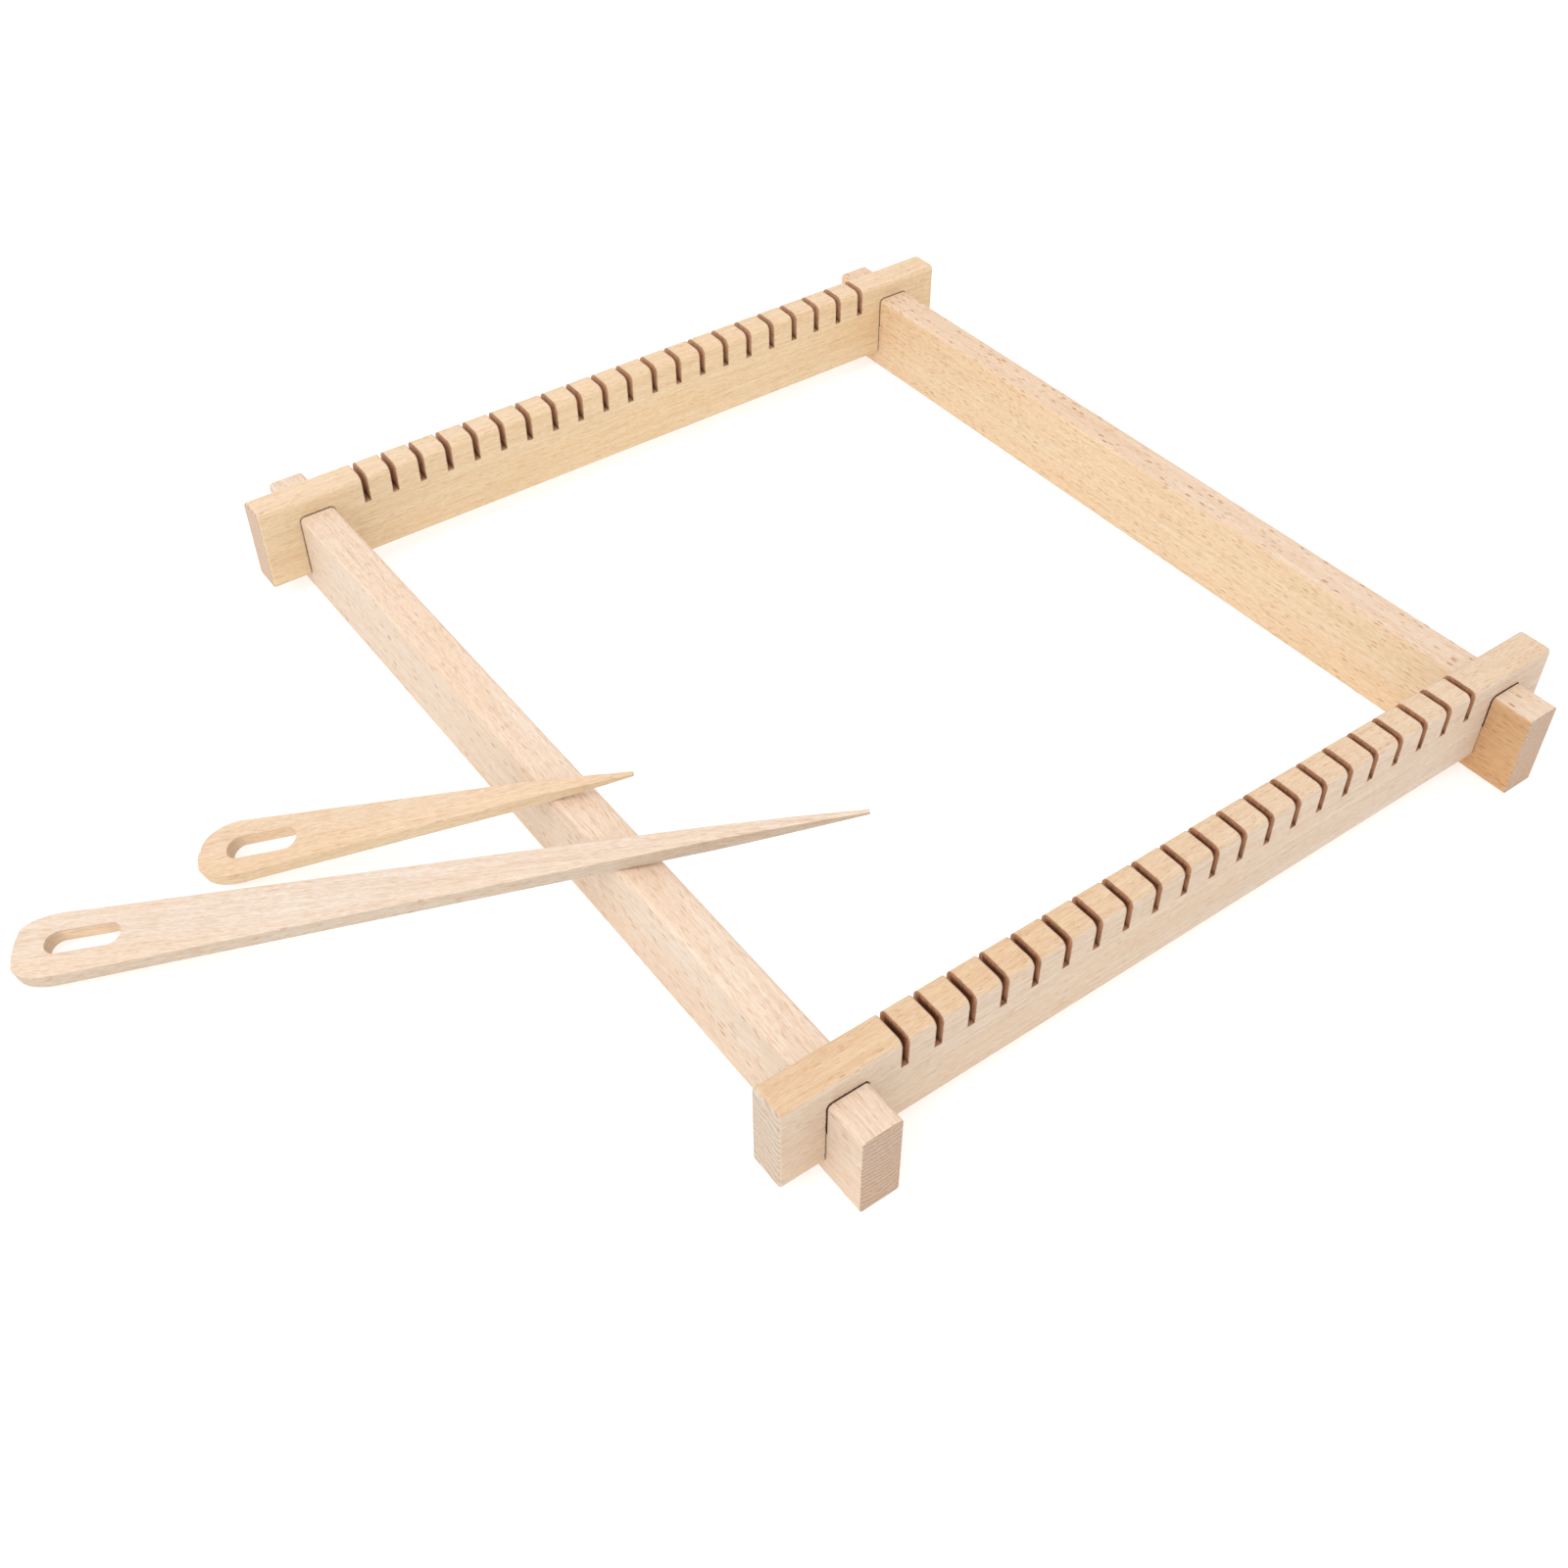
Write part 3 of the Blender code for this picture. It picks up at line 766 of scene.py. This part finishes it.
def needle_solid(length, width, spec):
    """A flat needle with sanded edges, thinned towards its tip, lying on z = 0."""
    measures = needle_sizes()
    mesh_data = bmesh.new()
    edge = measures.edge
    half = measures.thickness / 2
    for loop in (needle_outline(length, width, spec), eye_outline(spec)):
        corners = [mesh_data.verts.new((place.x, place.y, edge - half)) for place in loop]
        for first, second in zip(corners, corners[1:] + corners[:1]):
            mesh_data.edges.new((first, second))
    bmesh.ops.triangle_fill(mesh_data, use_beauty=True, edges=mesh_data.edges[:])
    grown = bmesh.ops.extrude_face_region(mesh_data, geom=mesh_data.faces[:])["geom"]
    moved = [item for item in grown if isinstance(item, bmesh.types.BMVert)]
    bmesh.ops.translate(mesh_data, verts=moved, vec=(0.0, 0.0, 2 * (half - edge)))
    bmesh.ops.recalc_face_normals(mesh_data, faces=mesh_data.faces[:])
    for face in mesh_data.faces:
        middle = face.calc_center_median()
        upright = abs(face.normal.z) < 0.5
        by_eye = abs(middle.y - spec["eye_shift"]) < measures.eye_width / 2 + CLOSE
        along_eye = abs(middle.x - measures.eye_setback - measures.eye_length / 2)
        if upright and by_eye and along_eye < measures.eye_length / 2 + CLOSE:
            face.material_index = 1
    for side in (-1, 1):
        round_cap(mesh_data, side, half - edge, edge)
    thin_towards_tip(mesh_data, length, spec["thin_length"])
    bmesh.ops.translate(mesh_data, verts=mesh_data.verts[:], vec=(0.0, 0.0, half))
    return mesh_data


def round_cap(mesh_data, side, height, radius):
    """Round the rim of one flat side by insetting it in steps round a quarter circle."""
    cap = [face for face in mesh_data.faces
           if all(near(corner.co.z, side * height) for corner in face.verts)]
    for step in range(RIM_STEPS):
        start = math.pi / 2 * step / RIM_STEPS
        end = math.pi / 2 * (step + 1) / RIM_STEPS
        inset = radius * (math.cos(start) - math.cos(end))
        rise = radius * (math.sin(end) - math.sin(start))
        bmesh.ops.inset_region(mesh_data, faces=cap, thickness=inset, use_even_offset=True)
        corners = {corner for face in cap for corner in face.verts}
        bmesh.ops.translate(mesh_data, verts=list(corners), vec=(0.0, 0.0, side * rise))


def thin_towards_tip(mesh_data, length, thin_length):
    """Bring both faces together over the last stretch before the tip."""
    measures = needle_sizes()
    start = length - thin_length
    for station in range(THIN_STATIONS):
        place = (start + thin_length * station / THIN_STATIONS, 0.0, 0.0)
        geometry = [*mesh_data.verts, *mesh_data.edges, *mesh_data.faces]
        bmesh.ops.bisect_plane(mesh_data, geom=geometry, plane_co=place, plane_no=(1, 0, 0))
    lost = 1 - measures.tip_thickness / measures.thickness
    for corner in mesh_data.verts:
        along = max(0.0, (corner.co.x - start) / thin_length)
        corner.co.z *= 1 - lost * along ** 1.5


def lay_on_node(mesh_data, name, spec):
    """Tip the needle up as it leans, and put it where its CAD node is."""
    turn = Matrix.Rotation(-spec["tilt"], 4, "Y") @ Matrix.Rotation(spec["heading"], 4, "Z")
    bmesh.ops.transform(mesh_data, matrix=turn, verts=mesh_data.verts)
    places = [corner.co for corner in mesh_data.verts]
    low = Vector(min(place[axis] for place in places) for axis in range(3))
    high = Vector(max(place[axis] for place in places) for axis in range(3))
    node_low, node_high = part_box(name)
    shift = (node_low + node_high - low - high) / 2
    shift.z = node_low.z - low.z
    bmesh.ops.translate(mesh_data, verts=mesh_data.verts, vec=shift)
    return Matrix.Translation(shift) @ turn


# --------------------------------------------------------------- operators


class LOOM_OT_rails(bpy.types.Operator):
    """Make the two rails that lie on the table"""

    bl_idname = "loom.make_rails"
    bl_label = "Make Rails"

    def execute(self, context):
        look = colours()
        # The notch walls are char dark: burnt wood with painted shade in the joint gaps.
        burnt = scorched_wood("burnt_and_shaded_joint", look.char)
        low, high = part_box("left_rail")
        left = board_place((0, 1, 0), (low + high) / 2, turn=0.2, slant=0.03)
        tones = (look.left_rail, look.left_side_and_shade, look.rail_end)
        wood = beech("beech_left_rail", tones, left, pith=(0.012, -0.045), ring_width=1.5 * MM,
                     fleck_length=5.0 * MM, fleck_width=0.3 * MM, fleck_amount=0.6,
                     fleck_depth=0.8)
        make_rail("left_rail", wood.material, burnt)
        low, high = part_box("right_rail")
        right = board_place((0, 1, 0), (low + high) / 2, turn=1.2)
        tones = (look.right_rail, look.right_side_and_shade, look.rail_end)
        wood = beech("beech_right_rail", tones, right, pith=(0.02, -0.05), ring_width=1.6 * MM,
                     fleck_length=4.6 * MM, fleck_width=0.5 * MM, fleck_amount=0.8,
                     fleck_depth=0.9)
        shade_right_stub_sides(wood)
        make_rail("right_rail", wood.material, burnt)
        return {"FINISHED"}


class LOOM_OT_bars(bpy.types.Operator):
    """Make the two slotted bars that carry the warp"""

    bl_idname = "loom.make_bars"
    bl_label = "Make Bars"

    def execute(self, context):
        look = colours()
        burnt = bpy.data.materials["burnt_and_shaded_joint"]
        cuts = (
            ("near_bar", (look.near_bar, look.near_side_and_shade, look.near_end), look.scorch,
             0.2, 0.95, 0.8),
            ("far_bar", (look.far_bar, look.far_side_and_shade, look.far_end), look.far_scorch,
             -0.5, 0.6, 0.2),
        )
        for name, tones, scorch, turn, joint_burn_and_shade_depth, inner_shade_depth in cuts:
            low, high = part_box(name)
            place = board_place((1, 0, 0), (low + high) / 2, turn)
            wood = beech("beech_" + name, tones, place, pith=(0.02, -0.04),
                         fleck_length=3.4 * MM, fleck_width=0.42 * MM, fleck_amount=0.6,
                         fleck_depth=0.65, side_flecks=0.35)
            if name == "near_bar":
                pale_end(wood)
            add_burns_and_joint_shade(wood, name, joint_burn_and_shade_depth)
            scorched = scorched_wood("scorched_" + name, scorch, name, inner_shade_depth)
            make_bar(name, wood.material, scorched, burnt)
        return {"FINISHED"}


class LOOM_OT_needles(bpy.types.Operator):
    """Make the long and the short weaving needle"""

    bl_idname = "loom.make_needles"
    bl_label = "Make Needles"

    def execute(self, context):
        measures = needle_sizes()
        look = colours()
        cuts = (
            ("long_needle", measures.long_length, measures.long_width, look.long_needle,
             look.long_side),
            ("short_needle", measures.short_length, measures.short_width, look.short_needle,
             look.short_side),
        )
        for name, length, width, tone, side in cuts:
            spec = NEEDLES[name]
            mesh_data = needle_solid(length, width, spec)
            lie = lay_on_node(mesh_data, name, spec)
            slant = Matrix.Rotation(0.3, 4, "X") @ Matrix.Rotation(spec["slant"], 4, "Z")
            wood = beech("beech_" + name, (tone, side, side), slant @ lie.inverted(),
                         pith=(0.02, -0.06), fleck_length=4.5 * MM, fleck_width=0.4 * MM,
                         fleck_amount=0.5, fleck_depth=0.4, grit_depth=1.4)
            eye = eye_wood("eye_of_" + name, look.eye, lie.inverted())
            piece = finished_piece(name, mesh_data, [wood.material, eye], name)
            shading = piece.modifiers.new("even shading", "WEIGHTED_NORMAL")
            shading.keep_sharp = True
        return {"FINISHED"}


class LOOM_OT_stage(bpy.types.Operator):
    """Make the pale table, the soft light and the camera"""

    bl_idname = "loom.make_stage"
    bl_label = "Make Stage"

    def execute(self, context):
        scene = context.scene
        scene.view_settings.view_transform = "Standard"
        self.make_floor()
        self.make_lights(scene)
        self.make_camera(scene)
        return {"FINISHED"}

    def make_floor(self):
        """One large pale table top."""
        mesh_data = bmesh.new()
        bmesh.ops.create_grid(mesh_data, x_segments=1, y_segments=1,
                              size=TABLE_HALF_SIDE)
        mesh = bpy.data.meshes.new("table_top")
        mesh_data.to_mesh(mesh)
        mesh_data.free()
        sheet = NodeSheet("pale_table")
        sheet.shader.inputs["Base Color"].default_value = rgba(colours().floor)
        sheet.shader.inputs["Roughness"].default_value = 0.9
        sheet.shader.inputs["Specular IOR Level"].default_value = 0.0
        sheet.shader.inputs["Emission Color"].default_value = (1.0, 1.0, 1.0, 1.0)
        sheet.shader.inputs["Emission Strength"].default_value = TABLE_GLOW
        mesh.materials.append(sheet.material)
        table_top = bpy.data.objects.new("table_top", mesh)
        bpy.context.scene.collection.objects.link(table_top)

    def make_lights(self, scene):
        """White sky all round, with a large soft lamp over the left shoulder."""
        world = bpy.data.worlds.new("studio")
        world.use_nodes = True
        sky = world.node_tree.nodes["Background"]
        sky.inputs["Color"].default_value = (1.0, 1.0, 1.0, 1.0)
        sky.inputs["Strength"].default_value = SKY_STRENGTH
        scene.world = world
        light = bpy.data.lights.new("soft_key", "AREA")
        light.shape = "SQUARE"
        light.size = LAMP_SIDE
        light.energy = LAMP_POWER
        lamp = bpy.data.objects.new("soft_key", light)
        lamp.location = LAMP_PLACE
        lamp.rotation_euler = (-LAMP_PLACE).to_track_quat("-Z", "Y").to_euler()
        scene.collection.objects.link(lamp)

    def make_camera(self, scene):
        """Camera that looks down on the loom from its near left corner."""
        lens = bpy.data.cameras.new("camera")
        lens.lens = CAMERA_LENS
        lens.sensor_width = 36.0
        lens.clip_start = 0.02
        lens.clip_end = 50.0
        camera = bpy.data.objects.new("camera", lens)
        flat = math.cos(CAMERA_ELEVATION)
        ahead = Vector((-math.sin(CAMERA_AZIMUTH) * flat, math.cos(CAMERA_AZIMUTH) * flat,
                        math.sin(CAMERA_ELEVATION)))
        right = Vector((math.cos(CAMERA_AZIMUTH), math.sin(CAMERA_AZIMUTH), 0.0))
        up = right.cross(ahead)
        axes = Matrix((right, up, -ahead)).transposed().to_4x4()
        roll = Matrix.Rotation(CAMERA_ROLL, 4, "Z")
        camera.matrix_world = Matrix.Translation(CAMERA_PLACE) @ axes @ roll
        scene.collection.objects.link(camera)
        scene.camera = camera


class LOOM_PT_panel(bpy.types.Panel):
    """The loom's sizes, colours and making steps"""

    bl_idname = "LOOM_PT_panel"
    bl_label = "Frame Loom"
    bl_space_type = "VIEW_3D"
    bl_region_type = "UI"
    bl_category = "Loom"

    def draw(self, context):
        layout = self.layout
        scene = context.scene
        for group in (scene.loom_frame, scene.loom_needles, scene.loom_colours):
            box = layout.box()
            for name in group.bl_rna.properties.keys():
                if name not in ("rna_type", "name"):
                    box.prop(group, name)
        for operator in OPERATORS:
            layout.operator(operator.bl_idname)


GROUPS = (
    ("loom_frame", FrameSizes),
    ("loom_needles", NeedleSizes),
    ("loom_colours", LoomColours),
)
OPERATORS = (LOOM_OT_rails, LOOM_OT_bars, LOOM_OT_needles, LOOM_OT_stage)


def register():
    for _, group in GROUPS:
        bpy.utils.register_class(group)
    for name, group in GROUPS:
        setattr(bpy.types.Scene, name, bpy.props.PointerProperty(type=group))
    for operator in OPERATORS:
        bpy.utils.register_class(operator)
    bpy.utils.register_class(LOOM_PT_panel)


def unregister():
    bpy.utils.unregister_class(LOOM_PT_panel)
    for operator in reversed(OPERATORS):
        bpy.utils.unregister_class(operator)
    for name, group in reversed(GROUPS):
        delattr(bpy.types.Scene, name)
        bpy.utils.unregister_class(group)


def main():
    register()
    bpy.ops.loom.make_rails()
    bpy.ops.loom.make_bars()
    bpy.ops.loom.make_needles()
    bpy.ops.loom.make_stage()
    bpy.context.view_layer.update()


if __name__ == "__main__":
    main()
